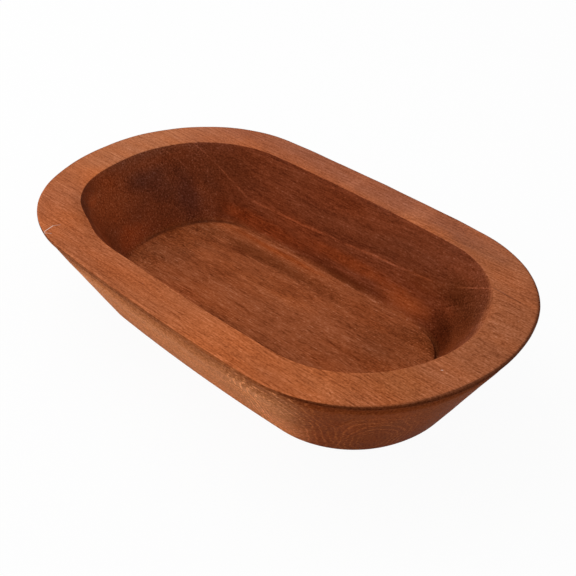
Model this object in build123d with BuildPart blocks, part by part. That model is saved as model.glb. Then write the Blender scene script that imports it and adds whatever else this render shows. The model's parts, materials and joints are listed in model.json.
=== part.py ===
"""Oblong dough bowl carved from a blank of eight edge-glued boards.

Millimetres. X runs along the boards, Y across them from front to back, Z up.
The origin is the centre of the flat base.
"""
import os
from math import cos, radians, sin

from build123d import *

# Stock boards of the blank
board_names = (
    "front_edge_board",
    "front_wall_board",
    "front_floor_board",
    "front_middle_board",
    "back_middle_board",
    "back_floor_board",
    "back_wall_board",
    "back_edge_board",
)
board_width = 25.4
# The blank lay a little off centre and askew when the bowl was carved
joint_shift = 1.4
joint_turn = 1.7

# Overall sizes
bowl_length = 345.0
bowl_width = board_width * len(board_names)
bowl_height = 68.0
floor_thickness = 20.0

# Flat rim, measured at the ends and at the sides, and the upright band round its outside
end_rim = 26.5
side_rim = 24.0
rim_band = 2.5

# How far each wall slopes inwards on its way down
inner_end_run = 30.0
inner_side_run = 28.5
outer_end_run = 40.0
outer_side_run = 36.0

# Corner radius of each outline
rim_corner = 88.0
mouth_corner = 68.0
floor_corner = 34.0
base_corner = 59.0
# Half the turn, in degrees, of the bowed sides and of the rounded ends
side_turn = 3.0
end_turn = 25.0

# Eased edges: chamfers at the rim and the mouth, fillets at the floor and the base
rim_edge = 1.0
mouth_edge = 1.5
floor_edge = 9.0
base_edge = 5.0

# Outlines that follow from the sizes above
mouth_length = bowl_length - 2 * end_rim
mouth_width = bowl_width - 2 * side_rim
floor_length = mouth_length - 2 * inner_end_run
floor_width = mouth_width - 2 * inner_side_run
base_length = bowl_length - 2 * outer_end_run
base_width = bowl_width - 2 * outer_side_run


def oblong(height, length, width, corner_radius):
    """An outline of bowed sides, round corners and bowed ends, all tangent, at a height above the base.

    Every outline turns by the same angles, so the walls between two of them run smoothly round the bowl.
    The side and end radii are those that bring the arcs to the stated length and width.
    """
    side, end = radians(side_turn), radians(end_turn)
    along = length / 2 - corner_radius * (cos(end) - sin(side))
    across = width / 2 - corner_radius * (cos(side) - sin(end))
    share = sin(side) * sin(end) - (1 - cos(side)) * (1 - cos(end))
    side_radius = (along * sin(end) - across * (1 - cos(end))) / share
    end_radius = (across * sin(side) - along * (1 - cos(side))) / share
    corner_turn = 90 - side_turn - end_turn
    half_loop = (
        (side_radius, 2 * side_turn),
        (corner_radius, corner_turn),
        (end_radius, 2 * end_turn),
        (corner_radius, corner_turn),
    )
    with BuildSketch(Plane.XY.offset(height)) as outline:
        with BuildLine():
            place = Vector(-side_radius * sin(side), width / 2 - side_radius * (1 - cos(side)))
            heading = Vector(cos(side), sin(side))
            for radius, turn in half_loop * 2:
                arc = JernArc(place, heading, radius, -turn)
                place = arc @ 1
                heading = arc % 1
        make_face()
    return outline.sketch


def joint_plane(number):
    """The glue joint behind the given board, counted from 1 at the front, facing the back."""
    middle = joint_shift + (number - len(board_names) / 2) * board_width
    turn = radians(joint_turn)
    return Plane(origin=(0, middle, 0), x_dir=(cos(turn), sin(turn), 0), z_dir=(-sin(turn), cos(turn), 0))


base_outline = oblong(0, base_length, base_width, base_corner)
rim_outline = oblong(bowl_height - rim_band, bowl_length, bowl_width, rim_corner)
floor_outline = oblong(floor_thickness, floor_length, floor_width, floor_corner)
mouth_outline = oblong(bowl_height, mouth_length, mouth_width, mouth_corner)

# The whole bowl as carved, with the joints not yet parted
with BuildPart() as carved_bowl:
    loft([base_outline, rim_outline])
    extrude(rim_outline, rim_band)
    loft([floor_outline, mouth_outline], mode=Mode.SUBTRACT)
    base_face, floor_face = carved_bowl.faces().filter_by(Plane.XY).sort_by(Axis.Z)[:2]
    fillet(base_face.edges(), base_edge)
    fillet(floor_face.edges(), floor_edge)
    rim_face = carved_bowl.faces().sort_by(Axis.Z)[-1]
    chamfer(rim_face.outer_wire().edges(), rim_edge)
    rim_face = carved_bowl.faces().sort_by(Axis.Z)[-1]
    chamfer(rim_face.inner_wires()[0].edges(), mouth_edge)

# Each board is the slice of the bowl between its two joints
os.makedirs("parts", exist_ok=True)
for number, name in enumerate(board_names, start=1):
    with BuildPart() as board:
        add(carved_bowl.part)
        if number > 1:
            split(bisect_by=joint_plane(number - 1), keep=Keep.TOP)
        if number < len(board_names):
            split(bisect_by=joint_plane(number), keep=Keep.BOTTOM)
    board.part.label = name
    export_step(board.part, f"parts/{name}.step")
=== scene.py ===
"""Looks of an oblong dough bowl, carved from eight boards glued edge to edge and stained reddish brown.

Metres. X runs along the boards, Y across them from front to back, Z up from the flat base.
The bowl is carved whole, as at the bench, then parted at its glue joints into the eight boards.
"""
import json
import logging
import math
from collections.abc import Callable, Iterator
from contextlib import contextmanager
from dataclasses import dataclass, fields
from enum import Enum

import bmesh
import bpy
import numpy as np
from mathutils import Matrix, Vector

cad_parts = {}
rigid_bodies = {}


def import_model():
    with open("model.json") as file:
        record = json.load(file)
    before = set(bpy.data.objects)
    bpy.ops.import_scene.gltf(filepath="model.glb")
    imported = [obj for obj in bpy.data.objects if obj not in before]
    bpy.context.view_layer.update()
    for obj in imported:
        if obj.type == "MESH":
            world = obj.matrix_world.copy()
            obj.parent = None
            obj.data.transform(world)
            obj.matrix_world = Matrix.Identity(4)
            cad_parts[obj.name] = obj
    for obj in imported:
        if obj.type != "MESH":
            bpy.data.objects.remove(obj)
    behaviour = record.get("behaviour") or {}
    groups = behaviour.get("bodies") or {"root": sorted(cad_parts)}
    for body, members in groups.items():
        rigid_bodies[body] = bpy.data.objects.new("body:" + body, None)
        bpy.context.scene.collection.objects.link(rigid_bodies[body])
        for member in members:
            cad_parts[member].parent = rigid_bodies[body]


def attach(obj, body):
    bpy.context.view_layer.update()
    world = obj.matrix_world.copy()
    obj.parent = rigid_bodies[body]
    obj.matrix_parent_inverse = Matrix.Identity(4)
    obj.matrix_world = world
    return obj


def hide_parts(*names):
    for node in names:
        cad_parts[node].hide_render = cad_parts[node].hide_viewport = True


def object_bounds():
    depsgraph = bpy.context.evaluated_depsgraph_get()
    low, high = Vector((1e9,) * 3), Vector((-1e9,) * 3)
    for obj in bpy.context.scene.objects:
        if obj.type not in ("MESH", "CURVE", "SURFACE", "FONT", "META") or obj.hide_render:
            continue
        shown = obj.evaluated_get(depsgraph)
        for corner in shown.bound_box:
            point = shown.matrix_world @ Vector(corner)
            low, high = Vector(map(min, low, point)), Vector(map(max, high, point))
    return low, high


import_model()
CAD_LOW, CAD_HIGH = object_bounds()

MM = 0.001
log = logging.getLogger("dough_bowl")

Range = tuple[float, float]
Point = tuple[float, float]
Place = tuple[float, float, float]
Tint = tuple[float, float, float, float]


def pigment(red: int, green: int, blue: int) -> Tint:
    """Turns a colour as a screen shows it, 0 to 255, by the sRGB curve into a shader's linear one.

    Args:
        red: Red on the screen.
        green: Green on the screen.
        blue: Blue on the screen.

    Returns:
        Linear red, green and blue, and a full alpha.
    """
    shares = (channel / 255 for channel in (red, green, blue))
    linear = (s / 12.92 if s <= 0.04045 else ((s + 0.055) / 1.055) ** 2.4 for s in shares)
    return (*linear, 1.0)


class Outline(Enum):
    """The outlines that the bowl is drawn from, in order up the outside and down the inside."""

    BASE = "base"
    WALL_TOP = "wall_top"
    RIM = "rim"
    MOUTH = "mouth"
    GROOVE = "groove"
    FLOOR = "floor"


class Board(Enum):
    """The eight boards of the blank, from front to back, by the names of their CAD nodes."""

    FRONT_EDGE = "front_edge_board"
    FRONT_WALL = "front_wall_board"
    FRONT_FLOOR = "front_floor_board"
    FRONT_MIDDLE = "front_middle_board"
    BACK_MIDDLE = "back_middle_board"
    BACK_FLOOR = "back_floor_board"
    BACK_WALL = "back_wall_board"
    BACK_EDGE = "back_edge_board"


class Bench:
    """Edit-mode steps that the modelling classes share."""

    @staticmethod
    def clear() -> None:
        """Leaves edit mode and deselects every object."""
        if bpy.context.object and bpy.context.object.mode != "OBJECT":
            bpy.ops.object.mode_set(mode="OBJECT")
        bpy.ops.object.select_all(action="DESELECT")

    @staticmethod
    def take(piece: bpy.types.Object) -> None:
        """Makes a piece the only selected object, and the active one.

        Args:
            piece: The object to take.
        """
        Bench.clear()
        piece.select_set(True)
        bpy.context.view_layer.objects.active = piece

    @staticmethod
    @contextmanager
    def editing(piece: bpy.types.Object, mode: str = "VERT") -> Iterator[None]:
        """Opens a piece in edit mode with nothing selected, and closes it again.

        Args:
            piece: The object to edit.
            mode: The kind of element to select, VERT, EDGE or FACE.
        """
        Bench.take(piece)
        bpy.ops.object.mode_set(mode="EDIT")
        bpy.ops.mesh.select_mode(type=mode)
        bpy.ops.mesh.select_all(action="DESELECT")
        yield
        bpy.ops.object.mode_set(mode="OBJECT")

    @staticmethod
    def select_edges(piece: bpy.types.Object, wanted: Callable[[bmesh.types.BMEdge], bool]) -> None:
        """Selects the edges of the edited piece that pass a test, and no others.

        Args:
            piece: The object in edit mode.
            wanted: The test of an edge.
        """
        bpy.ops.mesh.select_mode(type="EDGE")
        bpy.ops.mesh.select_all(action="DESELECT")
        mesh = bmesh.from_edit_mesh(piece.data)
        for edge in filter(wanted, mesh.edges):
            edge.select_set(True)
        bmesh.update_edit_mesh(piece.data)

    @staticmethod
    def select_group(piece: bpy.types.Object, name: str) -> None:
        """Adds the vertices of a vertex group to the selection of the edited piece."""
        piece.vertex_groups.active_index = piece.vertex_groups[name].index
        bpy.ops.object.vertex_group_select()

    @staticmethod
    def apply(piece: bpy.types.Object, kind: str, **settings: object) -> None:
        """Adds a modifier with its settings and applies it.

        Args:
            piece: The object to change.
            kind: The modifier's type.
            settings: The modifier's own settings.
        """
        Bench.take(piece)
        modifier = piece.modifiers.new(kind.lower(), kind)
        for name, value in settings.items():
            setattr(modifier, name, value)
        bpy.ops.object.modifier_apply(modifier=modifier.name)


@dataclass(frozen=True)
class Oblong:
    """A closed outline of bowed sides, round corners and bowed ends, all tangent, at one height.

    Every outline turns by the same angles, so that the walls between two of them run smoothly.
    """

    length: float
    width: float
    corner: float
    height: float
    side_turn: float = math.radians(3.0)
    end_turn: float = math.radians(25.0)
    # How many steps a side, a corner and an end are drawn in
    steps: tuple[int, int, int] = (108, 60, 64)

    def arcs(self) -> list[tuple[float, float, int]]:
        """Solves the side and end radii that bring the arcs to the stated length and width.

        Returns:
            Radius, turn and number of steps of the eight arcs, clockwise from the back side.
        """
        side, end = self.side_turn, self.end_turn
        along = self.length / 2 - self.corner * (math.cos(end) - math.sin(side))
        across = self.width / 2 - self.corner * (math.cos(side) - math.sin(end))
        share = math.sin(side) * math.sin(end) - (1 - math.cos(side)) * (1 - math.cos(end))
        side_radius = (along * math.sin(end) - across * (1 - math.cos(end))) / share
        end_radius = (across * math.sin(side) - along * (1 - math.cos(side))) / share
        corner_arc = (self.corner, math.pi / 2 - side - end, self.steps[1])
        return [
            (side_radius, 2 * side, self.steps[0]),
            corner_arc,
            (end_radius, 2 * end, self.steps[2]),
            corner_arc,
        ] * 2

    def draw(self) -> None:
        """Draws the outline in the edited mesh by spinning one point round the centre of each arc."""
        arcs = self.arcs()
        side_radius = arcs[0][0]
        rise = side_radius * (1 - math.cos(self.side_turn))
        place = Vector((-side_radius * math.sin(self.side_turn), self.width / 2 - rise, self.height))
        heading = self.side_turn
        bpy.ops.mesh.select_all(action="DESELECT")
        bpy.ops.mesh.primitive_plane_add(size=MM, location=place)
        bpy.ops.mesh.merge(type="CENTER")
        for radius, turn, steps in arcs:
            centre = place + radius * Vector((math.sin(heading), -math.cos(heading), 0))
            bpy.ops.mesh.spin(steps=steps, angle=turn, center=centre, axis=(0, 0, 1))
            heading -= turn
            place = centre - radius * Vector((math.sin(heading), -math.cos(heading), 0))


def near(place: np.ndarray, centre: Point, reach: float) -> np.ndarray:
    """Gives a weight of 1 at a point of the plan that fades to nothing around it.

    Args:
        place: The places to weigh, one row each.
        centre: The point of the plan.
        reach: How far from it the weight has fallen to about a third.

    Returns:
        One weight for each place.
    """
    return np.exp(-((place[:, 0] - centre[0]) ** 2 + (place[:, 1] - centre[1]) ** 2) / reach ** 2)


@dataclass
class CarvedBowl:
    """The whole bowl as it is carved, before it is parted at the joints. Lengths are in metres."""

    length: float = CAD_HIGH.x - CAD_LOW.x
    width: float = CAD_HIGH.y - CAD_LOW.y
    height: float = CAD_HIGH.z - CAD_LOW.z
    floor_height: float = 20 * MM
    end_rim: float = 26.5 * MM
    side_rim: float = 24 * MM
    rim_band: float = 2.6 * MM
    rim_dip: float = 0.3 * MM
    inner_end_run: float = 30 * MM
    inner_side_run: float = 28.5 * MM
    outer_end_run: float = 40 * MM
    outer_side_run: float = 36 * MM
    rim_corner: float = 88 * MM
    mouth_corner: float = 68 * MM
    floor_corner: float = 34 * MM
    base_corner: float = 59 * MM
    groove_depth: float = 0.3 * MM
    groove_width: float = 3 * MM
    # Where the mouth's edge is worn, and over which depth the stain turns dark at a sharp and at a worn edge
    worn_mouth: Point = (137 * MM, 33 * MM)
    worn_reach: float = 28 * MM
    sharp_fade: float = 0.33 * MM
    worn_fade: float = 9 * MM
    # How finely the mesh is divided
    weld: float = 0.1 * MM
    edge_segments: int = 4
    long_edge: float = 12 * MM
    outer_rows: int = 39
    rim_rows: int = 12
    inner_rows: int = 29
    flat_span: int = 100

    def outlines(self) -> dict[Outline, Oblong]:
        """Works out every outline from the sizes.

        Returns:
            The outlines in the order in which they are bridged.
        """
        mouth_length = self.length - 2 * self.end_rim
        mouth_width = self.width - 2 * self.side_rim
        floor_length = mouth_length - 2 * self.inner_end_run
        floor_width = mouth_width - 2 * self.inner_side_run
        inset = 2 * self.groove_width
        return {
            Outline.BASE: Oblong(self.length - 2 * self.outer_end_run, self.width - 2 * self.outer_side_run,
                                 self.base_corner, 0),
            Outline.WALL_TOP: Oblong(self.length, self.width, self.rim_corner, self.height - self.rim_band),
            Outline.RIM: Oblong(self.length, self.width, self.rim_corner, self.height),
            Outline.MOUTH: Oblong(mouth_length, mouth_width, self.mouth_corner, self.height - self.rim_dip),
            Outline.GROOVE: Oblong(floor_length, floor_width, self.floor_corner,
                                   self.floor_height - self.groove_depth),
            Outline.FLOOR: Oblong(floor_length - inset, floor_width - inset,
                                  self.floor_corner - self.groove_width, self.floor_height),
        }

    def build(self) -> bpy.types.Object:
        """Carves the bowl.

        Returns:
            The closed bowl as one object at the origin.
        """
        bowl = self.draw_outlines()
        self.ease_edges(bowl)
        self.divide_walls(bowl)
        self.fill_flats(bowl)
        self.mark_surfaces(bowl)
        return bowl

    def draw_outlines(self) -> bpy.types.Object:
        """Draws the outlines and bridges each to the next.

        Returns:
            The open bowl, with a vertex group for each outline.
        """
        Bench.clear()
        bpy.ops.mesh.primitive_plane_add(size=MM)
        bowl = bpy.context.object
        bowl.name = "carved_bowl"
        with Bench.editing(bowl):
            bpy.ops.mesh.select_all(action="SELECT")
            bpy.ops.mesh.delete(type="VERT")
            for outline, oblong in self.outlines().items():
                oblong.draw()
                bpy.ops.mesh.select_linked()
                bpy.ops.mesh.remove_doubles(threshold=self.weld)
                bowl.vertex_groups.active_index = bowl.vertex_groups.new(name=outline.value).index
                bpy.ops.object.vertex_group_assign()
            names = [outline.value for outline in Outline]
            for lower, upper in zip(names, names[1:]):
                bpy.ops.mesh.select_all(action="DESELECT")
                Bench.select_group(bowl, lower)
                Bench.select_group(bowl, upper)
                bpy.ops.mesh.bridge_edge_loops()
            for end in (names[0], names[-1]):
                bpy.ops.mesh.select_all(action="DESELECT")
                Bench.select_group(bowl, end)
                bpy.ops.mesh.edge_face_add()
            bpy.ops.mesh.select_all(action="SELECT")
            bpy.ops.mesh.normals_make_consistent(inside=False)
        return bowl

    def ease_edges(self, bowl: bpy.types.Object) -> None:
        """Rounds every outline's edge, each by its own reach along the faces beside it.

        Args:
            bowl: The open bowl.
        """
        reaches = {
            Outline.BASE: 1.4 * MM,
            Outline.WALL_TOP: 0.6 * MM,
            Outline.RIM: 0.7 * MM,
            Outline.MOUTH: 0.5 * MM,
            Outline.GROOVE: 0.8 * MM,
            Outline.FLOOR: 0.7 * MM,
        }
        widest = max(reaches.values())
        with Bench.editing(bowl):
            for outline, reach in reaches.items():
                bpy.ops.mesh.select_all(action="DESELECT")
                Bench.select_group(bowl, outline.value)
                bpy.ops.transform.edge_bevelweight(value=reach / widest)
        Bench.apply(bowl, "BEVEL", limit_method="WEIGHT", width=widest, segments=self.edge_segments,
                    use_clamp_overlap=False)

    def divide_walls(self, bowl: bpy.types.Object) -> None:
        """Cuts the long faces of the outside, the rim and the inside into rows of about two millimetres.

        Args:
            bowl: The bowl with eased edges.
        """
        with Bench.editing(bowl, "EDGE"):
            self.divide(bowl, self.is_outer, self.outer_rows)
            self.divide(bowl, self.is_flat, self.rim_rows)
            self.divide(bowl, lambda edge: True, self.inner_rows)

    def divide(self, bowl: bpy.types.Object, wanted: Callable[[bmesh.types.BMEdge], bool],
               rows: int) -> None:
        """Cuts the long edges that pass a test, and the faces between them, into rows.

        Args:
            bowl: The bowl in edit mode.
            wanted: The test of a long edge.
            rows: How many rows to make.
        """
        Bench.select_edges(bowl, lambda edge: edge.calc_length() > self.long_edge and wanted(edge))
        bpy.ops.mesh.subdivide(number_cuts=rows - 1)

    def is_outer(self, edge: bmesh.types.BMEdge) -> bool:
        """Tells whether an edge runs up the outside: it starts below the floor."""
        return min(vertex.co.z for vertex in edge.verts) < self.floor_height / 2

    def is_flat(self, edge: bmesh.types.BMEdge) -> bool:
        """Tells whether an edge lies in the rim."""
        return min(vertex.co.z for vertex in edge.verts) > self.height - self.rim_band / 2

    def fill_flats(self, bowl: bpy.types.Object) -> None:
        """Swaps the one large face of the floor and of the base for a grid of small ones.

        Args:
            bowl: The bowl with divided walls.
        """
        with Bench.editing(bowl, "FACE"):
            for _ in (Outline.FLOOR, Outline.BASE):
                bpy.ops.mesh.select_mode(type="FACE")
                bpy.ops.mesh.select_all(action="DESELECT")
                mesh = bmesh.from_edit_mesh(bowl.data)
                largest = max(mesh.faces, key=lambda face: len(face.verts))
                largest.select_set(True)
                bmesh.update_edit_mesh(bowl.data)
                bpy.ops.mesh.delete(type="ONLY_FACE")
                Bench.select_edges(bowl, lambda edge: edge.is_boundary)
                bpy.ops.mesh.fill_grid(span=self.flat_span, offset=0, use_interp_simple=True)
            bpy.ops.mesh.select_all(action="SELECT")
            bpy.ops.mesh.normals_make_consistent(inside=False)

    def mark_surfaces(self, bowl: bpy.types.Object) -> None:
        """Stores on each vertex what the finish asks about its place.

        The vertex groups of the outlines fade from 1 on their outline to 0 on the next, and become
        attributes of the same names. The attributes hollow, outside and rim_band are 1 on what they name and
        0 elsewhere, worn_mouth is 1 where the mouth is worn, and end_grain tells how far a face looks along
        the boards.

        Args:
            bowl: The closed bowl.
        """
        names = [group.name for group in bowl.vertex_groups]
        shares = np.zeros((len(names), len(bowl.data.vertices)))
        for vertex in bowl.data.vertices:
            for group in vertex.groups:
                shares[group.group, vertex.index] = group.weight
        bowl.vertex_groups.clear()
        for name, values in zip(names, shares):
            self.store(bowl, name, values)
        place, normal = self.vertices(bowl)
        shares = dict(zip(names, shares))
        carved = shares[Outline.GROOVE.value] + shares[Outline.FLOOR.value]
        carved += np.where(sum(shares.values()) == 0, place[:, 2] > self.floor_height / 2, 0)
        worn = near(place, self.worn_mouth, self.worn_reach)
        self.store(bowl, "worn_mouth", worn)
        depth = self.height - self.rim_dip - place[:, 2]
        fade = self.sharp_fade + (self.worn_fade - self.sharp_fade) * worn
        # A sharp edge turns dark halfway at the mouth's height, a worn one starts to turn there
        hollow = np.clip(depth / fade + (1 - worn) / 2, 0, 1)
        self.store(bowl, "hollow", np.where(carved > 0, hollow, 0))
        self.store(bowl, "end_grain", np.abs(normal[:, 0]))
        walls = shares[Outline.BASE.value] + shares[Outline.WALL_TOP.value]
        walls += np.where(place[:, 2] < self.floor_height / 4, 1, 0)
        self.store(bowl, "outside", np.clip(walls, 0, 1))
        # Both shares lie between 0 and 1 on the band alone, so that a strong gain brings their product to 1
        band_gain = 8
        band = shares[Outline.WALL_TOP.value] * shares[Outline.RIM.value]
        self.store(bowl, "rim_band", np.clip(band * band_gain, 0, 1))

    @staticmethod
    def vertices(bowl: bpy.types.Object) -> tuple[np.ndarray, np.ndarray]:
        """Reads where the bowl's vertices are and which way they face.

        Args:
            bowl: The bowl to read.

        Returns:
            Their places and their normals, one row each.
        """
        count = len(bowl.data.vertices)
        place, normal = np.empty(count * 3), np.empty(count * 3)
        bowl.data.vertices.foreach_get("co", place)
        bowl.data.vertices.foreach_get("normal", normal)
        return place.reshape(-1, 3), normal.reshape(-1, 3)

    @staticmethod
    def store(bowl: bpy.types.Object, name: str, values: np.ndarray) -> None:
        """Writes one number a vertex as an attribute that the finish can read."""
        bowl.data.attributes.new(name, "FLOAT", "POINT").data.foreach_set("value", values.astype(np.float32))

    @staticmethod
    def stored(bowl: bpy.types.Object, name: str) -> np.ndarray:
        """Reads an attribute back.

        Args:
            bowl: The bowl to read.
            name: The attribute's name.

        Returns:
            One number a vertex.
        """
        values = np.empty(len(bowl.data.vertices), np.float32)
        bowl.data.attributes[name].data.foreach_get("value", values)
        return values.astype(float)


def ease(value: np.ndarray, low: float, high: float) -> np.ndarray:
    """Rises smoothly from 0 at low to 1 at high, or falls where low is above high.

    Args:
        value: The numbers to shape.
        low: Where the result is 0.
        high: Where the result is 1.

    Returns:
        Numbers from 0 to 1.
    """
    share = np.clip((value - low) / (high - low), 0, 1)
    return share * share * (3 - 2 * share)


Mark = tuple[str, np.ndarray, float, str]


@dataclass(frozen=True)
class HandWork:
    """What the carver's tools and use left on the surfaces. Lengths are in metres."""

    # Soft swells of the whole surface but the base, and tool ripples, which are weaker outside the hollow
    base_rise: Range = (1.5 * MM, 14 * MM)
    swell_size: float = 55 * MM
    swell_depth: float = 1.3 * MM
    ripple_size: float = 13 * MM
    ripple_depth: float = 0.5 * MM
    ripple_outside: float = 0.25
    # The mouth's edge: pushed back along the back, out at two places on the left, worn at the right
    mouth_shift: float = 1.0 * MM
    back_side: Range = (10 * MM, 55 * MM)
    mouth_bulge: float = 2.8 * MM
    bulge: tuple[Point, float] = ((-141 * MM, 30 * MM), 45 * MM)
    lesser_bulge: tuple[Point, float] = ((-138 * MM, -36 * MM), 20 * MM)
    lesser_share: float = 0.6
    mouth_wear: float = 1.0 * MM
    wear_reach: Range = (0.86, 1.0)
    # The mouth's edge rolled over at the left front
    roll: tuple[Point, float] = ((-100 * MM, -70 * MM), 21 * MM)
    roll_width: float = 5.2 * MM
    roll_depth: float = 2.2 * MM
    roll_reach: Range = (0.55, 1.0)
    # The cove under the front rim and the narrow undercut elsewhere, by their reach up the outer wall
    rim_foot: float = 65.3 * MM
    front_side: Range = (-45 * MM, -75 * MM)
    front_right: Range = (125 * MM, 70 * MM)
    cove_left: Range = (-110 * MM, -50 * MM)
    cove_depth: float = 2.6 * MM
    cove_start: Range = (0.70, 0.92)
    cove_stop: Range = (1.0, 0.95)
    undercut_depth: float = 1.2 * MM
    undercut_start: Range = (0.90, 0.965)
    undercut_stop: Range = (1.0, 0.985)
    # The stop cut at the ends of the floor, which is shallow at the left
    stop_cut_depth: float = 2.2 * MM
    stop_cut_reach: Range = (0.92, 1.0)
    right_end: Range = (78 * MM, 104 * MM)
    left_end: Range = (-78 * MM, -104 * MM)
    left_share: float = 0.2

    def work(self, bowl: bpy.types.Object) -> None:
        """Presses the marks into the bowl, and leaves the base flat.

        Args:
            bowl: The bowl as it was carved.
        """
        place, _ = CarvedBowl.vertices(bowl)
        above_base = ease(place[:, 2], *self.base_rise)
        inside = self.ripple_outside + (1 - self.ripple_outside) * CarvedBowl.stored(bowl, "hollow")
        for mark in (*self.mouth_marks(bowl, place), *self.wall_marks(bowl, place)):
            self.press(bowl, *mark)
        self.swell(bowl, "swell", above_base, self.swell_size, self.swell_depth)
        self.swell(bowl, "ripple", above_base * inside, self.ripple_size, self.ripple_depth)

    def mouth_marks(self, bowl: bpy.types.Object, place: np.ndarray) -> list[Mark]:
        """Weighs the marks of the mouth's edge.

        Args:
            bowl: The bowl as it was carved.
            place: The places of its vertices.

        Returns:
            The name, weights, depth and direction of each mark.
        """
        mouth = CarvedBowl.stored(bowl, Outline.MOUTH.value)
        around = ease(mouth, 0.0, 1.0)
        back = ease(place[:, 1], *self.back_side)
        left = near(place, *self.bulge) + self.lesser_share * near(place, *self.lesser_bulge)
        worn = ease(mouth, *self.wear_reach) * CarvedBowl.stored(bowl, "worn_mouth")
        roll = near(place, *self.roll)
        return [
            ("mouth_shift", back * around, self.mouth_shift, "Y"),
            ("mouth_bulge", around * np.minimum(left, 1), -self.mouth_bulge, "X"),
            ("mouth_wear", worn, -self.mouth_wear, "NORMAL"),
            ("roll_over", around * roll, self.roll_width, "Y"),
            ("roll_down", ease(mouth, *self.roll_reach) * roll, -self.roll_depth, "Z"),
        ]

    def wall_marks(self, bowl: bpy.types.Object, place: np.ndarray) -> list[Mark]:
        """Weighs the marks under the rim and at the foot of the inner wall.

        Args:
            bowl: The bowl as it was carved.
            place: The places of its vertices.

        Returns:
            The name, weights, depth and direction of each mark.
        """
        x, y, z = place.T
        top = CarvedBowl.stored(bowl, Outline.WALL_TOP.value)
        groove = CarvedBowl.stored(bowl, Outline.GROOVE.value)
        below_rim = z < self.rim_foot
        front = ease(y, *self.front_side) * ease(x, *self.front_right)
        cove = ease(top, *self.cove_start) * ease(top, *self.cove_stop) * front * ease(x, *self.cove_left)
        undercut = ease(top, *self.undercut_start) * ease(top, *self.undercut_stop) * (1 - front)
        at_ends = ease(x, *self.right_end) + self.left_share * ease(x, *self.left_end)
        return [
            ("cove", cove * below_rim, -self.cove_depth, "NORMAL"),
            ("undercut", undercut * below_rim, -self.undercut_depth, "NORMAL"),
            ("stop_cut", ease(groove, *self.stop_cut_reach) * at_ends, -self.stop_cut_depth, "NORMAL"),
        ]

    @staticmethod
    def weigh(bowl: bpy.types.Object, name: str, weights: np.ndarray) -> str:
        """Makes a vertex group of the weights.

        Args:
            bowl: The bowl to add it to.
            name: A name for the group.
            weights: The weight of each vertex.

        Returns:
            The group's name.
        """
        group = bowl.vertex_groups.new(name=name)
        levels = 100
        steps = np.rint(weights * levels).astype(int)
        for level in range(1, levels + 1):
            group.add(np.flatnonzero(steps == level).tolist(), level / levels, "REPLACE")
        return group.name

    def swell(self, bowl: bpy.types.Object, name: str, weights: np.ndarray, size: float,
              depth: float) -> None:
        """Moves the surface in and out by a soft noise.

        Args:
            bowl: The bowl to change.
            name: A name for the noise.
            weights: How much each vertex takes part.
            size: Width of one swell.
            depth: Depth from trough to crest.
        """
        noise = bpy.data.textures.new(name, "CLOUDS")
        noise.noise_scale = size
        noise.noise_depth = 1
        group = self.weigh(bowl, name, weights)
        Bench.apply(bowl, "DISPLACE", texture=noise, strength=depth, mid_level=0.5, vertex_group=group)

    def press(self, bowl: bpy.types.Object, name: str, weights: np.ndarray, depth: float,
              direction: str) -> None:
        """Moves the surface by a set depth where it has weight.

        Args:
            bowl: The bowl to change.
            name: A name for the mark.
            weights: How much each vertex takes part.
            depth: How far to move, or inwards where it is below zero.
            direction: Along the normals, or along an axis.
        """
        group = self.weigh(bowl, name, weights)
        Bench.apply(bowl, "DISPLACE", strength=depth, mid_level=0.0, direction=direction, vertex_group=group)


@dataclass(frozen=True)
class Blank:
    """The glued blank: how the boards lie in the bowl."""

    board_width: float = (CAD_HIGH.y - CAD_LOW.y) / len(Board)
    shift: float = 1.4 * MM
    turn: float = math.radians(1.7)

    def joint(self, number: int) -> Vector:
        """Gives a point of the joint behind the given board, counted from 1 at the front."""
        return Vector((0, self.shift + (number - len(Board) / 2) * self.board_width, 0))

    def part(self, bowl: bpy.types.Object) -> dict[Board, bpy.types.Object]:
        """Cuts the bowl along the joints.

        Args:
            bowl: The whole bowl, which is removed afterwards.

        Returns:
            The closed boards.
        """
        across = Vector((-math.sin(self.turn), math.cos(self.turn), 0))
        boards = {}
        for number, board in enumerate(Board, start=1):
            piece = bowl.copy()
            piece.data = bowl.data.copy()
            piece.name = piece.data.name = f"stained_{board.value}"
            bpy.context.scene.collection.objects.link(piece)
            with Bench.editing(piece):
                if number > 1:
                    self.cut(self.joint(number - 1), across)
                if number < len(Board):
                    self.cut(self.joint(number), -across)
                self.triangulate_joints()
            boards[board] = piece
        bpy.data.objects.remove(bowl)
        return boards

    @staticmethod
    def cut(place: Vector, keep: Vector) -> None:
        """Cuts the edited mesh by a plane, keeps the side that an arrow points to and closes the cut."""
        bpy.ops.mesh.select_all(action="SELECT")
        bpy.ops.mesh.bisect(plane_co=place, plane_no=keep, use_fill=True, clear_inner=True)

    @staticmethod
    def triangulate_joints() -> None:
        """Cuts the large faces that close the joints into well-shaped triangles."""
        bpy.ops.mesh.select_all(action="DESELECT")
        bpy.ops.mesh.select_face_by_sides(number=4, type="GREATER")
        bpy.ops.mesh.quads_convert_to_tris(ngon_method="BEAUTY")


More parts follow.
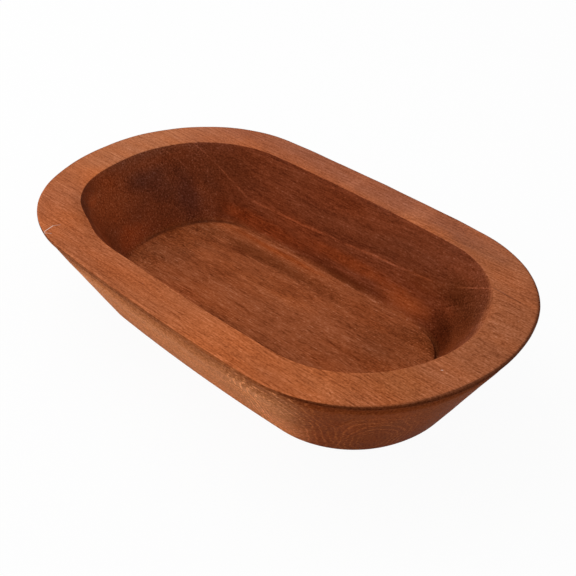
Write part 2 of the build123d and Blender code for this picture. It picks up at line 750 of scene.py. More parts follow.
class Value:
    """One number that varies over a surface. Arithmetic on it adds Math nodes."""

    def __init__(self, graph: "Graph", socket: bpy.types.NodeSocket) -> None:
        """Wraps an output socket of a graph."""
        self.graph = graph
        self.socket = socket

    def math(self, operation: str, *others: "Value | float") -> "Value":
        """Adds a Math node that takes this value first.

        Args:
            operation: The Math node's operation.
            others: Its other inputs.

        Returns:
            The result.
        """
        inputs = dict(enumerate((self, *others)))
        added = self.graph.node("ShaderNodeMath", {"operation": operation}, inputs)
        return Value(self.graph, added.outputs[0])

    def __add__(self, other: "Value | float") -> "Value":
        """Adds."""
        return self.math("ADD", other)

    __radd__ = __add__

    def __sub__(self, other: "Value | float") -> "Value":
        """Subtracts."""
        return self.math("SUBTRACT", other)

    def __rsub__(self, other: float) -> "Value":
        """Subtracts this from a number."""
        return self.math("MULTIPLY", -1.0) + other

    def __mul__(self, other: "Value | float") -> "Value":
        """Multiplies."""
        return self.math("MULTIPLY", other)

    __rmul__ = __mul__

    def __truediv__(self, other: "Value | float") -> "Value":
        """Divides."""
        return self.math("DIVIDE", other)

    def __pow__(self, power: float) -> "Value":
        """Raises to a power."""
        return self.math("POWER", power)

    def fade(self, low: float, high: float) -> "Value":
        """Rises smoothly from 0 to 1, or falls where low is above high.

        Args:
            low: Where the result is 0.
            high: Where the result is 1.

        Returns:
            The result.
        """
        if low > high:
            return 1 - self.fade(high, low)
        sockets = {"Value": self, "From Min": low, "From Max": high}
        ramp = self.graph.node("ShaderNodeMapRange", {"interpolation_type": "SMOOTHSTEP"}, sockets)
        return Value(self.graph, ramp.outputs["Result"])

    @property
    def swing(self) -> "Value":
        """How far a noise lies above or below its average of 0.5."""
        return self - 0.5

    @staticmethod
    def length(x: "Value", y: "Value", z: "Value") -> "Value":
        """Gives the length of a step in space from its parts."""
        return (x * x + y * y + z * z) ** 0.5


class Graph:
    """A node tree that is written as expressions."""

    def __init__(self, tree: bpy.types.NodeTree) -> None:
        """Clears the tree and starts from nothing."""
        self.tree = tree
        tree.nodes.clear()

    def node(self, kind: str, settings: dict[str, object] | None = None,
             sockets: dict[str | int, object] | None = None) -> bpy.types.Node:
        """Adds a node.

        Args:
            kind: The node's type.
            settings: Its own settings, which are set first. The stops of a ramp are given as stops.
            sockets: The values or links of its inputs, by name or number.

        Returns:
            The node.
        """
        made = self.tree.nodes.new(kind)
        for name, value in (settings or {}).items():
            if name == "stops":
                self.set_stops(made.color_ramp, value)
            else:
                setattr(made, name, value)
        for name, value in (sockets or {}).items():
            if isinstance(value, Value):
                value = value.socket
            if isinstance(value, bpy.types.NodeSocket):
                self.tree.links.new(value, made.inputs[name])
            else:
                made.inputs[name].default_value = value
        return made

    @staticmethod
    def set_stops(ramp: bpy.types.ColorRamp, stops: list[tuple[float, tuple]]) -> None:
        """Gives a colour ramp its stops.

        Args:
            ramp: The ramp.
            stops: The place and the colour of each stop.
        """
        while len(ramp.elements) < len(stops):
            ramp.elements.new(1.0)
        for element, (place, colour) in zip(ramp.elements, stops):
            element.position = place
            element.color = colour

    def attribute(self, name: str) -> Value:
        """Reads a number that is stored on the piece."""
        return Value(self, self.node("ShaderNodeAttribute", {"attribute_name": name}).outputs["Fac"])

    def vector(self, x: Value | float, y: Value | float, z: Value | float) -> bpy.types.NodeSocket:
        """Makes a vector of three values."""
        return self.node("ShaderNodeCombineXYZ", None, {0: x, 1: y, 2: z}).outputs[0]

    def parts(self, vector: bpy.types.NodeSocket) -> tuple[Value, Value, Value]:
        """Takes a vector apart."""
        split = self.node("ShaderNodeSeparateXYZ", None, {0: vector})
        return Value(self, split.outputs[0]), Value(self, split.outputs[1]), Value(self, split.outputs[2])

    def noise(self, vector: bpy.types.NodeSocket, detail: float = 2.0, roughness: float = 0.5) -> Value:
        """Reads a soft noise, about 0.5 on average, whose swells are one unit wide."""
        sockets = {"Vector": vector, "Scale": 1.0, "Detail": detail, "Roughness": roughness}
        return Value(self, self.node("ShaderNodeTexNoise", None, sockets).outputs["Fac"])

    def mix(self, share: Value | float, first: object, second: object,
            how: str = "MIX") -> bpy.types.NodeSocket:
        """Mixes two colours.

        Args:
            share: How much of the second there is.
            first: A colour, or a socket that gives one.
            second: A colour, or a socket that gives one.
            how: The way of mixing.

        Returns:
            The mixed colour.
        """
        settings = {"data_type": "RGBA", "blend_type": how}
        # A Mix node numbers its sockets over all kinds of data, so that its colours come late
        return self.node("ShaderNodeMix", settings, {0: share, 6: first, 7: second}).outputs[2]

    def shade(self, colour: object, tint: object, share: Value | float) -> bpy.types.NodeSocket:
        """Multiplies a share of a colour by a tint."""
        return self.mix(share, colour, tint, "MULTIPLY")

    def seen(self) -> Value:
        """Tells what the camera looks at from what only sends light to the bowl.

        Returns:
            1 on rays from the camera, also by a mirror or through glass, and 0 on the others.
        """
        rays = self.node("ShaderNodeLightPath").outputs
        camera, mirror, glass = (Value(self, rays[f"Is {kind} Ray"]) for kind in (
            "Camera", "Glossy", "Transmission"))
        return camera.math("MAXIMUM", mirror).math("MAXIMUM", glass)


@dataclass(frozen=True)
class Spot:
    """A place on the bowl and how far it reaches each way. Lengths are in millimetres."""

    centre: Place
    reach: Place

    def distance(self, grain: "Grain") -> Value:
        """Gives the distance from the centre, where 1 is the reach."""
        axes = zip(grain.place, self.centre, self.reach)
        return Value.length(*((value - middle) / reach for value, middle, reach in axes))


@dataclass(frozen=True)
class Patch(Spot):
    """A soft-edged spot that a tint changes, with an edge that the grain frays. Patches stand for uneven
    stain, and for painted light, shade and sheen.
    """

    tint: Tint
    ragged: float = 0.6
    speckled: float = 0.3
    edge: Range = (1.0, 0.25)

    def share(self, grain: "Grain") -> Value:
        """Tells how far a place lies inside the patch.

        Args:
            grain: The grain that makes the patch's edge ragged.

        Returns:
            From 0 outside to 1 at the centre.
        """
        ragged = grain.blotch.swing * self.ragged + grain.speck.swing * self.speckled
        return (self.distance(grain) + ragged).fade(*self.edge)


@dataclass(frozen=True)
class Figure(Spot):
    """A spot of nested growth rings that the carving laid open on the outside."""

    rings: int
    waviness: float = 0.5
    fraying: float = 0.05
    ring_start: Range = (0.55, 0.86)
    ring_stop: Range = (1.0, 0.92)
    gaps: Range = (0.3, 0.55)
    middle: Range = (0.22, 0.45)
    edge: Range = (1.0, 0.7)

    def share(self, grain: "Grain") -> Value:
        """Tells where the pale edges of the rings run.

        Args:
            grain: The grain that makes the rings wavy and broken.

        Returns:
            From 0 between the rings to 1 on them.
        """
        wavy = self.distance(grain) + grain.wave.swing * self.waviness + grain.speck.swing * self.fraying
        ring = (wavy * self.rings).math("FRACT")
        line = ring.fade(*self.ring_start) * ring.fade(*self.ring_stop) * grain.speck.fade(*self.gaps)
        return line * wavy.fade(*self.middle) * wavy.fade(*self.edge) * grain.outside


@dataclass(frozen=True)
class Scratch:
    """A thin line that a knock or a crack left, from one place to another. Lengths are in millimetres."""

    start: Place
    end: Place
    width: float
    core: float = 0.4

    def share(self, grain: "Grain") -> Value:
        """Tells how far a place lies on the line.

        Args:
            grain: The grain, which knows the place.

        Returns:
            From 0 beside the line to 1 on its core.
        """
        run = Vector(self.end) - Vector(self.start)
        steps = [value - begin for value, begin in zip(grain.place, self.start)]
        along = (steps[0] * run.x + steps[1] * run.y + steps[2] * run.z) / run.length_squared
        along = along.math("MAXIMUM", 0.0).math("MINIMUM", 1.0)
        aside = Value.length(*(step - along * part for step, part in zip(steps, run)))
        return aside.fade(self.width, self.width * self.core)


@dataclass(frozen=True)
class EdgeMark:
    """A darker or paler line that follows an outline. Lengths are in millimetres.

    An outline's own number is 1 on it and falls to 0 at the next. Each range tells where the mark starts and
    where it is full: by that number, along and across the bowl, and by the floor's own number.
    """

    outline: Outline
    reach: Range
    along: Range | None = None
    across: Range | None = None
    off_floor: Range | None = None
    in_hollow: bool | None = None
    broken: bool = False
    strength: float = 1.0
    # From where along the bowl the mark climbs off its outline, and how fast
    climb: Range | None = None

    def share(self, grain: "Grain") -> Value:
        """Tells how strong the mark is at each place.

        Args:
            grain: The grain, which knows the place and breaks the mark up.

        Returns:
            From 0 beside the mark to its strength.
        """
        x, y, _ = grain.place
        own = grain.graph.attribute(self.outline.value)
        if self.climb:
            start, rate = self.climb
            own = own - (x - start).math("MAXIMUM", 0.0) * rate
        share = own.fade(*self.reach) * self.strength
        floor = grain.graph.attribute(Outline.FLOOR.value)
        for value, limits in ((x, self.along), (y, self.across), (floor, self.off_floor)):
            if limits:
                share = share * value.fade(*limits)
        if self.in_hollow is not None:
            share = share * (grain.hollow if self.in_hollow else 1 - grain.hollow)
        return share * grain.broken if self.broken else share


class MarksAndPaintedLight:
    """Where the stain took unevenly, where the wood is worn or knocked off, where edges are darker or paler,
    and where light, shade and sheen are painted, as seen on the bowl.
    """

    patches = (
        # Left end wall
        Patch((-119, 34, 38), (20, 13, 26), (0.62, 0.68, 0.95, 1)),
        Patch((-135, 11, 53), (16, 26, 10), (0.62, 0.67, 0.86, 1)),
        # Painted light on the front of the left end wall, which lies in shade below the mouth's left edge
        Patch((-134, -24, 52), (34, 32, 26), (1.3, 1.2, 1.0, 1)),
        Patch((-127, 19, 44), (15, 15, 11), (0.74, 0.79, 0.95, 1)),
        Patch((-124, 42, 54), (22, 18, 14), (0.84, 0.85, 0.9, 1)),
        Patch((-112, 50, 46), (15, 11, 14), (0.84, 0.85, 0.88, 1)),
        # Painted light low on the front of the left end wall, and on its top strip below the mouth's edge
        Patch((-117, -20, 27), (14, 26, 11), (1.5, 1.3, 1.05, 1)),
        Patch((-129, -42, 62), (10, 16, 8), (1.5, 1.4, 1.25, 1)),
        # Back wall
        Patch((-32, 59, 36), (40, 8, 8), (1.2, 1.14, 1.05, 1)),
        Patch((-95, 60, 51), (40, 14, 16), (0.88, 0.9, 0.92, 1)),
        Patch((22, 50.5, 22.8), (50, 4.5, 4.5), (0.68, 0.59, 0.45, 1)),
        Patch((-60, 52, 28), (62, 7, 8), (1.42, 1.24, 0.96, 1)),
        Patch((20, 55.5, 32), (60, 6, 6), (1.3, 1.12, 0.8, 1)),
        Patch((68, 52.5, 26.5), (32, 11, 11), (1.6, 1.56, 1.2, 1)),
        Patch((40, 66, 50), (70, 10, 12), (0.9, 0.94, 0.98, 1)),
        Patch((76, 60, 42), (26, 11, 11), (0.84, 0.76, 0.6, 1)),
        Patch((-20, 71, 58), (46, 8, 10), (1.1, 1.08, 1.06, 1)),
        # Right end wall: painted shade over the wall and the recess at its foot
        Patch((114, 38, 42), (40, 42, 34), (0.66, 0.62, 0.49, 1)),
        Patch((100, 59, 49), (26, 15, 16), (0.68, 0.63, 0.49, 1)),
        Patch((107, 36, 27), (20, 24, 12), (0.6, 0.54, 0.5, 1)),
        Patch((98, 48, 29), (16, 12, 12), (0.72, 0.68, 0.62, 1)),
        # Floor
        Patch((-36, 44.6, 20), (66, 3.6, 4), (0.99, 0.82, 0.61, 1)),
        Patch((-34, 34, 20), (84, 9, 5), (0.62, 0.56, 0.48, 1)),
        Patch((-97, 33, 21), (24, 11, 7), (0.68, 0.65, 0.61, 1)),
        Patch((-62, 27, 20), (15, 4.5, 4), (0.76, 0.68, 0.62, 1)),
        Patch((-77, 8, 20), (26, 16, 5), (1.12, 1.2, 1.3, 1)),
        Patch((-99, 0, 20), (30, 46, 5), (0.74, 0.73, 0.73, 1)),
        Patch((-10, 9, 20), (62, 12, 5), (1.12, 1.2, 1.28, 1)),
        Patch((90, 12, 20), (36, 38, 5), (0.74, 0.72, 0.69, 1)),
        Patch((95, 37, 21), (22, 17, 7), (0.82, 0.78, 0.72, 1)),
        Patch((-54, -33, 20), (30, 9, 6), (1.2, 1.18, 1.18, 1)),
        # Rim: painted shade that darkens the right and the back, and painted sheen in the bluer tints at the
        # left, the back and the right
        Patch((150, 30, 68), (140, 130, 40), (0.87, 0.96, 1.1, 1)),
        Patch((-20, 95, 68), (190, 26, 8), (0.82, 0.92, 1.29, 1)),
        Patch((-158, 24, 68), (44, 84, 8), (1.05, 1.26, 1.55, 1)),
        Patch((-136, -66, 68), (28, 32, 8), (0.97, 1.04, 1.2, 1)),
        Patch((95, 80, 68), (42, 26, 8), (0.98, 1.04, 1.16, 1)),
        Patch((-128, 68, 68), (44, 28, 8), (0.98, 1.08, 1.34, 1)),
        # Rim: tones of the stain, with pale bands across the grain
        Patch((111, -78, 68), (34, 22, 8), (1.13, 1.13, 1.06, 1)),
        Patch((142, -51, 68), (26, 24, 8), (0.97, 0.94, 0.82, 1)),
        Patch((-12, 88, 68), (9, 24, 8), (1.1, 1.13, 1.15, 1)),
        Patch((45, 84, 68), (11, 24, 8), (1.16, 1.2, 1.2, 1)),
        Patch((134, 58, 68), (28, 26, 8), (1.12, 1.1, 1.08, 1)),
        Patch((-62, -88, 68), (62, 28, 8), (0.95, 0.96, 1.0, 1)),
        Patch((52, -90, 68), (52, 24, 8), (1.18, 1.14, 1.04, 1)),
        # Outside, near corner
        Patch((112, -74, 30), (24, 20, 28), (1.03, 0.99, 0.93, 1)),
        Patch((140, -54, 34), (20, 20, 26), (0.88, 0.88, 0.92, 1)),
        Patch((95.5, -96.3, 61.5), (5, 3, 3), (1.5, 1.7, 1.9, 1)),
        Patch((85, -66, 16), (34, 20, 24), (1.24, 1.2, 1.2, 1)),
    )
    figures = (
        Figure((85, -77, 22), (42, 42, 160), 10),
        Figure((128, -50, 16), (26, 26, 120), 8),
        Figure((151, -49, 49), (5, 5, 9), 2),
    )
    scratches = (
        # A nick in the rim at the left front, with the scratches that run from it, and a fleck at the right
        Scratch((-108.4, -94.6, 68), (-107.4, -93.6, 68), 1.3),
        Scratch((-107.9, -94.2, 68), (-110.2, -84.5, 68), 0.5),
        Scratch((-110.2, -84.5, 68), (-108.0, -80.5, 68), 0.4),
        Scratch((-107.9, -94.2, 68), (-103.5, -90.5, 68), 0.4),
        Scratch((151.9, -27.6, 68), (152.5, -27.2, 68), 0.45),
    )
    cracks = (
        # A hair crack across the right rim
        Scratch((126, 53, 68), (147, 50.7, 68), 0.9),
        Scratch((147, 50.7, 68), (158, 49.2, 68), 0.5),
    )
    # Darker lines along the outlines, of which those in the grooves at the ends of the floor are painted
    # shade
    dirty = (
        # Outer edge of the rim, behind and at the right
        EdgeMark(Outline.RIM, (0.94, 1.0), across=(-70, -20)),
        EdgeMark(Outline.RIM, (0.92, 1.0), along=(110, 150), strength=0.75),
        # Painted shade in the groove at the foot of the right end wall and of the left one, and a darker
        # line at the foot of the back wall
        EdgeMark(Outline.GROOVE, (0.9, 1.0), along=(76, 98), strength=0.8),
        EdgeMark(Outline.GROOVE, (0.955, 0.99), (-70, -90), (-30, 0), off_floor=(0.3, 0.0), broken=True),
        EdgeMark(Outline.GROOVE, (0.8, 0.9), (-60, -10), (36, 44), off_floor=(0.1, 0.0), strength=0.4,
                 climb=(-20, 0.0022)),
        # Mouth at the left front, above and below its edge
        EdgeMark(Outline.MOUTH, (0.7, 1.0), (-62, -90), (-40, -56), in_hollow=False, strength=0.5),
        EdgeMark(Outline.MOUTH, (0.78, 0.9), (-80, -105), (-20, -45), in_hollow=True, broken=True),
    )
    # Paler lines along both edges of the front rim, and painted highlight on the floor's arris at the ends
    worn = (
        # Both edges of the front rim
        EdgeMark(Outline.RIM, (0.9, 0.99), across=(-40, -70), strength=0.5),
        EdgeMark(Outline.MOUTH, (0.95, 1.0), across=(-40, -70), in_hollow=False, broken=True),
        # Painted highlight on the edge of the floor at the right and at the left
        EdgeMark(Outline.FLOOR, (0.4, 1.0), along=(76, 98), broken=True, strength=0.9),
        EdgeMark(Outline.FLOOR, (0.4, 1.0), along=(-76, -98), broken=True, strength=0.9),
    )


@dataclass(frozen=True)
class Timber:
    """How a board was sawn: where its growth rings centre, and how wide they are, in millimetres."""

    pith: Point
    ring_width: float

    def store(self, piece: bpy.types.Object, seed: float) -> None:
        """Writes the numbers on a board for the finish to read.

        Args:
            piece: The board.
            seed: A number that sets its grain apart from the other boards'.
        """
        count = len(piece.data.vertices)
        pith_y, pith_z = self.pith
        numbers = {"pith_y": pith_y, "pith_z": pith_z, "ring_width": self.ring_width, "seed": seed}
        for name, number in numbers.items():
            CarvedBowl.store(piece, name, np.full(count, number))


HEART_BOARD = Timber((14.0, 44.0), 2.8)
OUTER_BOARD = Timber((-200.0, -31.0), 2.1)
SEED_STEP = 0.37
SMOOTH_ANGLE = math.radians(50)


@dataclass(frozen=True)
class Texture:
    """A noise in the wood, with swells of a length along the grain and a width across it, in millimetres."""

    length: float
    width: float
    detail: float
    roughness: float = 0.5
    shift: Place = (0, 0, 0)

    def read(self, graph: Graph, place: bpy.types.NodeSocket,
             shift: bpy.types.NodeSocket | None = None) -> Value:
        """Reads the noise.

        Args:
            graph: The graph to add to.
            place: The place in the bowl.
            shift: How many swells to move the noise, where a board has a shift of its own.

        Returns:
            The noise, about 0.5 on average.
        """
        moved = graph.node("ShaderNodeMapping", None, {
            "Vector": place,
            "Location": self.shift if shift is None else shift,
            "Scale": (1 / self.length, 1 / self.width, 1 / self.width),
        })
        return graph.noise(moved.outputs[0], self.detail, self.roughness)


@dataclass(frozen=True)
class Grain:
    """What the wood does at each place of a board. Each part is a number that varies over the surface.

    The regions come first, each 1 inside and 0 elsewhere. Rough are the end walls of the hollow, and corner
    is where the outside turns towards an end. The pattern of the wood follows.
    """

    graph: Graph
    place: tuple[Value, Value, Value]
    hollow: Value
    floor: Value
    outside: Value
    end: Value
    corner: Value
    rough: Value
    front: Value
    right_rim: Value
    radius: Value
    wave: Value
    line: Value
    streak: Value
    fibre: Value
    speck: Value
    pores: Value
    blotch: Value
    warmth: Value
    broken: Value


@dataclass(frozen=True)
class Strength:
    """How strongly a part of the grain shows: everywhere, and how much more or less in single regions."""

    everywhere: float
    hollow: float = 0.0
    floor: float = 0.0
    outside: float = 0.0
    rough: float = 0.0
    front: float = 0.0
    right_rim: float = 0.0

    def at(self, grain: Grain) -> Value | float:
        """Adds up the strength at each place.

        Args:
            grain: The grain, which knows the regions.

        Returns:
            The strength there.
        """
        total = self.everywhere
        for region in fields(self)[1:]:
            more = getattr(self, region.name)
            if more:
                total = getattr(grain, region.name) * more + total
        return total


@dataclass(frozen=True)
class StainedWood:
    """The finish of the boards: open-pored wood under a reddish brown stain, with light, shade and sheen
    painted in places. Lengths are in millimetres.
    """

    # Tints of warm streaks of stain and of the regions
    warm_tint: Tint = (1.06, 0.96, 0.82, 1)
    floor_tint: Tint = (0.73, 0.66, 0.62, 1)
    wall_tint: Tint = (0.47, 0.36, 0.34, 1)
    end_wall_tint: Tint = (1.08, 1.14, 1.2, 1)
    # The outside is paler and less red than the rim, in part as painted sheen of the white floor
    outside_tint: Tint = (1.47, 1.88, 1.96, 1)
    outside_end_tint: Tint = (0.58, 0.46, 0.3, 1)
    shadow_tint: Tint = (0.55, 0.44, 0.37, 1)
    # The rim's upright band, darkened as painted shade, most where the outside turns towards an end
    band_tint: Tint = (0.6, 0.54, 0.5, 1)
    band_end_tint: Tint = (0.38, 0.33, 0.31, 1)
    # Tints of edges, lines and marks
    # The dark edge tint is in part painted shade, and the pale edge tint in part painted highlight
    dirty_tint: Tint = (0.5, 0.48, 0.5, 1)
    worn_tint: Tint = (1.3, 1.34, 1.34, 1)
    ring_tint: Tint = (1.6, 1.78, 1.9, 1)
    hairline_tint: Tint = (1.8, 2.0, 2.2, 1)
    crack_tint: Tint = (0.55, 0.52, 0.54, 1)
    crack_gaps: Range = (0.3, 0.5)
    bare_colour: Tint = pigment(232, 214, 202)
    bare_share: float = 0.8
    # Where the regions start and where they are full
    end_faces: Range = (0.35, 0.8)
    corner_faces: Range = (0.08, 0.42)
    front_side: Range = (-40, -75)
    right_side: Range = (90, 150)
    floor_top: Range = (24, 20)
    # The pattern of the wood, where crowding and streaks go by the radius of the growth rings
    wave: Texture = Texture(90, 30, 2.0)
    wave_depth: float = 10.0
    crowding: Texture = Texture(1, 11, 1.0, shift=(0, 0, 0.7))
    crowding_depth: float = 1.2
    ring_rise: Range = (0.35, 0.85)
    ring_drop: Range = (1.0, 0.9)
    streak: Texture = Texture(120, 4, 2.0, 0.6)
    streak_level: float = 0.3
    fibre: Texture = Texture(8, 0.75, 2.0, 0.65)
    speck: Texture = Texture(1.5, 1.0, 1.0, shift=(9, 0, 0))
    pore: Texture = Texture(7, 0.8, 1.0, shift=(0, 3, 0))
    pore_edge: Range = (0.6, 0.72)
    blotch: Texture = Texture(46, 24, 4.0, 0.6)
    warmth: Texture = Texture(70, 18, 3.0, shift=(5.1, 0, 0))
    warm_edge: Range = (0.35, 0.75)
    broken_edge: Range = (0.75, 1.15)
    # How strongly the pattern shows in the tone of the stain, from dark at 0 to pale at 1
    middle_tone: float = 0.6
    streak_strength: Strength = Strength(0.25, hollow=0.35)
    blotch_strength: Strength = Strength(0.34, hollow=0.2)
    speck_strength: Strength = Strength(0.6, outside=0.5, rough=0.5, right_rim=0.15)
    fibre_strength: Strength = Strength(0.62, hollow=0.45, floor=0.25, front=0.25, right_rim=0.25)
    pore_strength: Strength = Strength(-0.12, hollow=0.06, outside=0.072)
    ring_strength: Strength = Strength(-0.08, hollow=0.04, outside=0.048)
    glint_strength: Strength = Strength(0.0, hollow=0.2, rough=0.2)
    glint_edge: Range = (0.66, 0.78)
    # Painted shade under the rim, by its reach up the outer wall
    shadow_ragged: float = 0.16
    shadow_reach: Range = (0.66, 0.9)
    corner_reach: Range = (0.87, 0.97)
    corner_share: float = 0.55
    # The hairlines: the glue joints, and two growth rings of the heart, of which the outer one is bowed
    joint_edge: Range = (0.4, 0.1)
    joint_share: float = 0.25
    outer_ring: float = 47.6
    outer_bow: float = 2.6
    bow_length: float = 120
    outer_edge: Range = (0.5, 0.15)
    inner_ring: float = 28.6
    inner_edge: Range = (0.6, 0.2)
    inner_height: Range = (46, 56)
    inner_share: float = 0.6
    ring_side: Range = (20, 26)
    ring_share: float = 0.7
    break_size: float = 16
    break_level: float = 4.4
    break_edge: Range = (0.3, 0.52)
    # Relief, whose depth is in metres, and gloss
    relief: float = 0.3
    relief_depth: float = 0.3 * MM
    pore_relief: float = 0.5
    ring_relief: float = 0.2
    fibre_relief: float = 0.4
    roughness: float = 0.58
    pore_roughness: float = 0.2
    blotch_roughness: float = 0.12
    gloss: float = 0.01

    def material(self, name: str) -> bpy.types.Material:
        """Builds the finish.

        Args:
            name: The material's name.

        Returns:
            The material.
        """
        finish = bpy.data.materials.new(name)
        finish.use_nodes = True
        graph = Graph(finish.node_tree)
        grain = self.read_grain(graph)
        colour = self.stain_regions(grain, self.stain(grain))
        # Patches of uneven stain, and of painted light, painted shade and painted sheen
        for patch in MarksAndPaintedLight.patches:
            colour = graph.shade(colour, patch.tint, patch.share(grain))
        for figure in MarksAndPaintedLight.figures:
            colour = graph.shade(colour, self.ring_tint, figure.share(grain))
        # Darker and paler lines along the outlines, in part painted shade in the grooves and painted
        # highlight on the floor's arris
        for marks, tint in ((MarksAndPaintedLight.dirty, self.dirty_tint), (MarksAndPaintedLight.worn, self.worn_tint)):
            for mark in marks:
                colour = graph.shade(colour, tint, mark.share(grain))
        colour = self.draw_hairlines(grain, colour)
        for scratch in MarksAndPaintedLight.scratches:
            colour = graph.mix(scratch.share(grain) * self.bare_share, colour, self.bare_colour)
        for crack in MarksAndPaintedLight.cracks:
            broken = grain.speck.fade(*self.crack_gaps)
            colour = graph.shade(colour, self.crack_tint, crack.share(grain) * broken)
        height = grain.fibre.swing * self.fibre_relief
        height = height - grain.pores * self.pore_relief - grain.line * self.ring_relief
        bump = graph.node("ShaderNodeBump", None, {
            "Strength": self.relief,
            "Distance": self.relief_depth,
            "Height": height,
        })
        roughness = self.roughness + grain.pores * self.pore_roughness
        surface = graph.node("ShaderNodeBsdfPrincipled", None, {
            "Base Color": colour,
            "Roughness": roughness + grain.blotch.swing * self.blotch_roughness,
            "Specular IOR Level": self.gloss,
            "Normal": bump.outputs["Normal"],
        })
        graph.node("ShaderNodeOutputMaterial", None, {"Surface": surface.outputs[0]})
        return finish

    def read_grain(self, graph: Graph) -> Grain:
        """Works out the regions and the growth rings, fibres and pores.

        Args:
            graph: The graph to add to.

        Returns:
            The grain at each place.
        """
        turned = graph.node("ShaderNodeMapping", None, {
            "Vector": graph.node("ShaderNodeTexCoord").outputs["Object"],
            "Scale": (1 / MM, 1 / MM, 1 / MM),
            "Rotation": (0, 0, -Blank.turn),
        }).outputs[0]
        x, y, z = graph.parts(turned)
        hollow, outside, end, seed = map(graph.attribute, ("hollow", "outside", "end_grain", "seed"))
        end_face = end.fade(*self.end_faces)
        side = y - graph.attribute("pith_y")
        rise = z - graph.attribute("pith_z")
        radius = (side * side + rise * rise) ** 0.5
        wave = self.wave.read(graph, turned, graph.vector(seed, 0, 0))
        waved = radius + wave.swing * self.wave_depth
        crowding = self.crowding.read(graph, graph.vector(seed, waved, 0))
        rings = waved / graph.attribute("ring_width") + crowding * self.crowding_depth
        ring = rings.math("FRACT")
        streaks = graph.vector(x, waved, 0)
        speck = self.speck.read(graph, turned)
        blotch = self.blotch.read(graph, turned, graph.vector(0, 0, seed))
        return Grain(
            graph=graph,
            place=(x, y, z),
            hollow=hollow,
            floor=z.fade(*self.floor_top) * hollow,
            outside=outside,
            end=end_face,
            corner=end.fade(*self.corner_faces),
            rough=hollow * end_face,
            front=y.fade(*self.front_side) * (1 - outside),
            right_rim=x.fade(*self.right_side) * (1 - hollow) * (1 - outside),
            radius=radius,
            wave=wave,
            line=ring.fade(*self.ring_rise) * ring.fade(*self.ring_drop),
            streak=self.streak.read(graph, streaks, graph.vector(0, seed, self.streak_level)),
            fibre=self.fibre.read(graph, turned),
            speck=speck,
            pores=self.pore.read(graph, turned).fade(*self.pore_edge),
            blotch=blotch,
            warmth=self.warmth.read(graph, turned),
            broken=(speck + blotch).fade(*self.broken_edge),
        )

    def stain(self, grain: Grain) -> bpy.types.NodeSocket:
        """Colours the wood as it is on the rim.

        Args:
            grain: The board's grain.

        Returns:
            The colour.
        """
        side = 1 - grain.end
        pattern = (
            (grain.streak.swing * side, self.streak_strength),
            (grain.blotch.swing, self.blotch_strength),
            (grain.speck.swing, self.speck_strength),
            (grain.fibre.swing, self.fibre_strength),
            (grain.pores, self.pore_strength),
            (grain.line * side, self.ring_strength),
            (grain.speck.fade(*self.glint_edge), self.glint_strength),
        )
        tone = self.middle_tone
        for part, strength in pattern:
            tone = part * strength.at(grain) + tone
        colour = grain.graph.node("ShaderNodeValToRGB", {"stops": [
            (0.0, pigment(90, 39, 17)),
            (0.3, pigment(134, 68, 36)),
            (0.6, pigment(172, 96, 57)),
            (0.85, pigment(194, 116, 77)),
            (1.0, pigment(212, 142, 106)),
        ]}, {"Fac": tone}).outputs["Color"]
        return grain.graph.shade(colour, self.warm_tint, grain.warmth.fade(*self.warm_edge))

    def stain_regions(self, grain: Grain, colour: bpy.types.NodeSocket) -> bpy.types.NodeSocket:
        """Darkens the hollow and the end grain, pales the outside, in part as painted sheen of the white
        floor, and paints shade under the rim and on the rim's upright band.

        Args:
            grain: The board's grain.
            colour: The colour of the rim.

        Returns:
            The colour of every region.
        """
        graph = grain.graph
        inside = graph.shade(self.wall_tint, self.end_wall_tint, grain.end)
        inside = graph.mix(grain.floor, inside, self.floor_tint)
        outside = graph.mix(grain.corner, self.outside_tint, self.outside_end_tint)
        # Painted shade: a dark band under the rim, shorter and fainter where the outside turns towards an
        # end
        top = graph.attribute(Outline.WALL_TOP.value) + grain.blotch.swing * self.shadow_ragged
        painted_shade_under_rim = top.fade(*self.shadow_reach) * (1 - grain.corner)
        painted_shade_under_rim = painted_shade_under_rim + top.fade(*self.corner_reach) * grain.corner * self.corner_share
        outside = graph.shade(outside, self.shadow_tint, painted_shade_under_rim)
        # Painted shade on the rim's upright band
        band = graph.mix(grain.corner, self.band_tint, self.band_end_tint)
        colour = graph.shade(colour, inside, grain.hollow)
        colour = graph.shade(colour, outside, grain.outside)
        return graph.shade(colour, band, graph.attribute("rim_band"))

    def draw_hairlines(self, grain: Grain, colour: bpy.types.NodeSocket) -> bpy.types.NodeSocket:
        """Draws the glue joints and two pale growth rings as hairlines that come and go.

        Args:
            grain: The board's grain.
            colour: The colour so far.

        Returns:
            The colour with the lines.
        """
        graph = grain.graph
        x, y, z = grain.place
        pitch = Blank.board_width / MM
        offset = ((y - Blank.shift / MM) / pitch + 0.5).math("FRACT") - 0.5
        joint = (offset.math("ABSOLUTE") * pitch).fade(*self.joint_edge) * (1 - grain.outside)
        bowed = grain.radius + (x / self.bow_length) ** 2 * self.outer_bow
        outer = (bowed - self.outer_ring).math("ABSOLUTE").fade(*self.outer_edge)
        inner = (grain.radius - self.inner_ring).math("ABSOLUTE").fade(*self.inner_edge)
        inner = inner * z.fade(*self.inner_height) * self.inner_share
        ring = outer.math("MAXIMUM", inner) * grain.hollow * y.fade(*self.ring_side)
        breaks = graph.vector(x / self.break_size, y / self.break_size, self.break_level)
        broken = graph.noise(breaks).fade(*self.break_edge)
        line = joint * self.joint_share + ring * self.ring_share
        return graph.shade(colour, self.hairline_tint, line * broken)


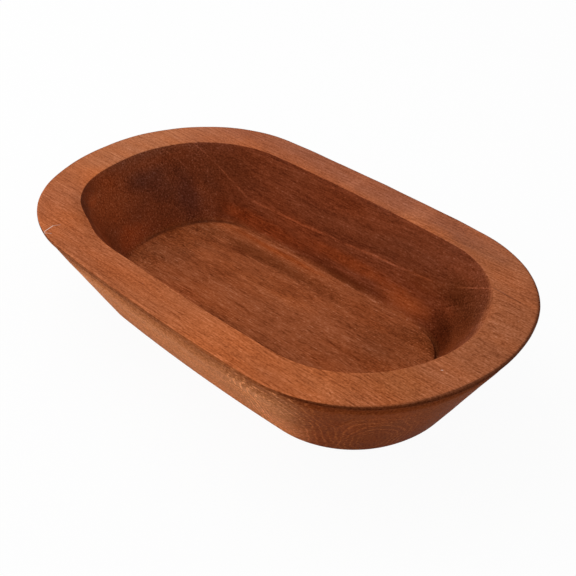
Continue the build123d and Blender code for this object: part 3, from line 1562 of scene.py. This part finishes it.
@dataclass(frozen=True)
class Studio:
    """A white floor, soft light and the camera of the photograph. Lengths are in metres."""

    azimuth: float = math.radians(46.108)
    elevation: float = math.radians(34.948)
    distance: float = 619.41 * MM
    target: Place = (44.07 * MM, -29.01 * MM, 68.0 * MM)
    lens: float = 67.29
    sensor: float = 36.0
    floor_size: float = 8.0
    floor_gap: float = 0.1 * MM
    paper_white: Tint = (0.82, 0.82, 0.82, 1)
    paper_glow: float = 0.95
    surround: float = 0.55
    white: Tint = (1, 1, 1, 1)

    def build(self) -> None:
        """Sets the floor, the light and the camera."""
        self.lay_floor()
        self.set_world()
        self.hang_lamp("top_softbox", (-0.7, 0, 1.0), size=1.0, power=6)
        self.hang_lamp("left_softbox", (-0.9, -0.9, 0.6), size=0.8, power=5)
        self.place_camera()
        bpy.context.scene.view_settings.view_transform = "Standard"

    def lay_floor(self) -> None:
        """Lays a white floor that still takes the bowl's shadow."""
        Bench.clear()
        bpy.ops.mesh.primitive_plane_add(size=self.floor_size, location=(0, 0, -self.floor_gap))
        floor = bpy.context.object
        floor.name = "floor"
        paper = bpy.data.materials.new("white_paper")
        paper.use_nodes = True
        graph = Graph(paper.node_tree)
        matt = graph.node("ShaderNodeBsdfDiffuse", None, {"Color": self.paper_white})
        glow = graph.node("ShaderNodeEmission", None, {"Color": self.white, "Strength": 1.0})
        sockets = {0: graph.seen() * self.paper_glow, 1: matt.outputs[0], 2: glow.outputs[0]}
        surface = graph.node("ShaderNodeMixShader", None, sockets).outputs[0]
        graph.node("ShaderNodeOutputMaterial", None, {"Surface": surface})
        floor.data.materials.append(paper)

    def set_world(self) -> None:
        """Sets a pale surround that the camera sees as white."""
        world = bpy.data.worlds.new("studio")
        world.use_nodes = True
        bpy.context.scene.world = world
        graph = Graph(world.node_tree)
        strength = self.surround + graph.seen() * (1 - self.surround)
        surround = graph.node("ShaderNodeBackground", None, {"Color": self.white, "Strength": strength})
        graph.node("ShaderNodeOutputWorld", None, {"Surface": surround.outputs[0]})

    def hang_lamp(self, name: str, place: Place, size: float, power: float) -> None:
        """Hangs a square softbox that points at the bowl.

        Args:
            name: The lamp's name.
            place: Where it hangs.
            size: Its side.
            power: Its power in watts.
        """
        light = bpy.data.lights.new(name, "AREA")
        light.shape = "SQUARE"
        light.size = size
        light.energy = power
        lamp = bpy.data.objects.new(name, light)
        lamp.location = place
        lamp.rotation_euler = (-Vector(place)).to_track_quat("-Z", "Y").to_euler()
        bpy.context.scene.collection.objects.link(lamp)

    def place_camera(self) -> None:
        """Stands the camera where the photograph was taken from."""
        flat = math.cos(self.elevation)
        along, across = math.sin(self.azimuth) * flat, -math.cos(self.azimuth) * flat
        back = Vector((along, across, math.sin(self.elevation)))
        view = bpy.data.cameras.new("photograph")
        view.lens = self.lens
        view.sensor_width = self.sensor
        camera = bpy.data.objects.new("photograph", view)
        camera.location = Vector(self.target) + back * self.distance
        camera.rotation_euler = (-back).to_track_quat("-Z", "Y").to_euler()
        bpy.context.scene.collection.objects.link(camera)
        bpy.context.scene.camera = camera


def main() -> None:
    """Builds the bowl, dresses it and sets the studio."""
    logging.basicConfig(level=logging.INFO, format="%(name)s: %(message)s")
    bowl = CarvedBowl().build()
    log.info("%s: %d faces", bowl.name, len(bowl.data.polygons))
    HandWork().work(bowl)
    finish = StainedWood().material("stained_wood")
    front = (Board.FRONT_EDGE, Board.FRONT_WALL)
    for number, (board, piece) in enumerate(Blank().part(bowl).items()):
        timber = OUTER_BOARD if board in front else HEART_BOARD
        timber.store(piece, SEED_STEP * number)
        piece.data.materials.clear()
        piece.data.materials.append(finish)
        Bench.take(piece)
        bpy.ops.object.shade_smooth_by_angle(angle=SMOOTH_ANGLE)
        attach(piece, "root")
        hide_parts(board.value)
        log.info("%s: %d faces", piece.name, len(piece.data.polygons))
    Studio().build()


if __name__ == "__main__":
    main()
